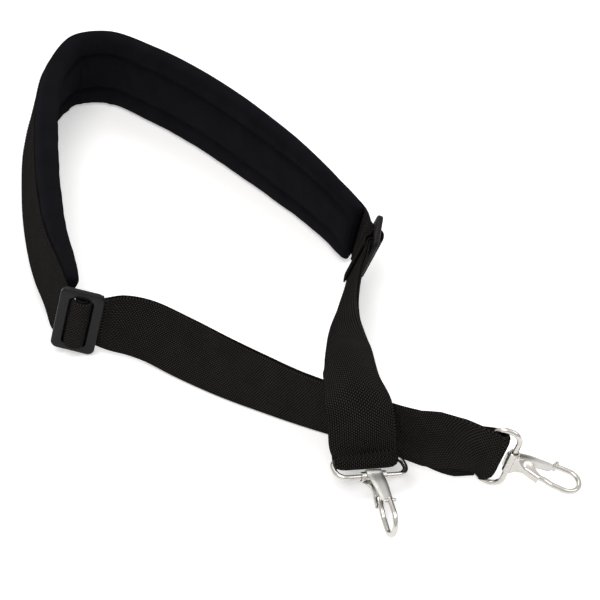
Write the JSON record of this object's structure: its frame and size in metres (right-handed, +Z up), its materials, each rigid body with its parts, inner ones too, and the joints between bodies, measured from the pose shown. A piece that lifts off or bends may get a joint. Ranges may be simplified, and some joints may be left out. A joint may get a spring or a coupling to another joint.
{
  "type": "drum shoulder strap",
  "caption": "Padded black shoulder strap for carrying a drum, with webbing ends, plastic adjusters and metal snap hooks on rings.",
  "frame": {"origin": "middle of the strap's footprint, on the surface that it lies on", "axes": "+Z up, +X to the right along the webbing that ends at hook A, +Y towards the pad's bend"},
  "size_m": [0.344, 0.4566, 0.0593],
  "materials": {
    "lining": "matte knitted cloth over foam",
    "webbing": "matte woven webbing",
    "plastic": "satin",
    "nickel": "polished nickel plate",
    "spring_steel": "bright"
  },
  "bodies": {
    "strap": {"shoulder_pad": "lining", "webbing_middle": "webbing", "webbing_a_outer": "webbing", "webbing_a_inner": "webbing", "adjuster_a": "plastic", "ring_a": "nickel", "webbing_b_outer": "webbing", "webbing_b_inner": "webbing", "adjuster_b": "plastic", "ring_b": "nickel"},
    "hook_a": {"hook_body_a": "nickel", "hook_wire_a": "nickel"},
    "gate_a": {"gate_a": "spring_steel"},
    "hook_b": {"hook_body_b": "nickel", "hook_wire_b": "nickel"},
    "gate_b": {"gate_b": "spring_steel"}
  },
  "joints": [
    {"name": "hook_a_swing", "type": "hinge", "parent": "strap", "child": "hook_a", "pos_m": [0.13184, -0.18162, 0.02289], "axis": [0.2663, -0.1066, 0.958], "range_deg": [-60, 60]},
    {"name": "gate_a_press", "type": "hinge", "parent": "hook_a", "child": "gate_a", "pos_m": [0.13184, -0.18162, 0.02289], "axis": [0.2663, -0.1066, 0.958], "range_deg": [-13, 0], "stiffness_Nm_per_rad": 0.01},
    {"name": "hook_b_swing", "type": "hinge", "parent": "strap", "child": "hook_b", "pos_m": [0.05456, -0.18772, 0.01684], "axis": [-0.9443, -0.2848, 0.165], "range_deg": [-60, 60]},
    {"name": "gate_b_press", "type": "hinge", "parent": "hook_b", "child": "gate_b", "pos_m": [0.05456, -0.18772, 0.01684], "axis": [-0.9443, -0.2848, 0.165], "range_deg": [-13, 0], "stiffness_Nm_per_rad": 0.01}
  ]
}
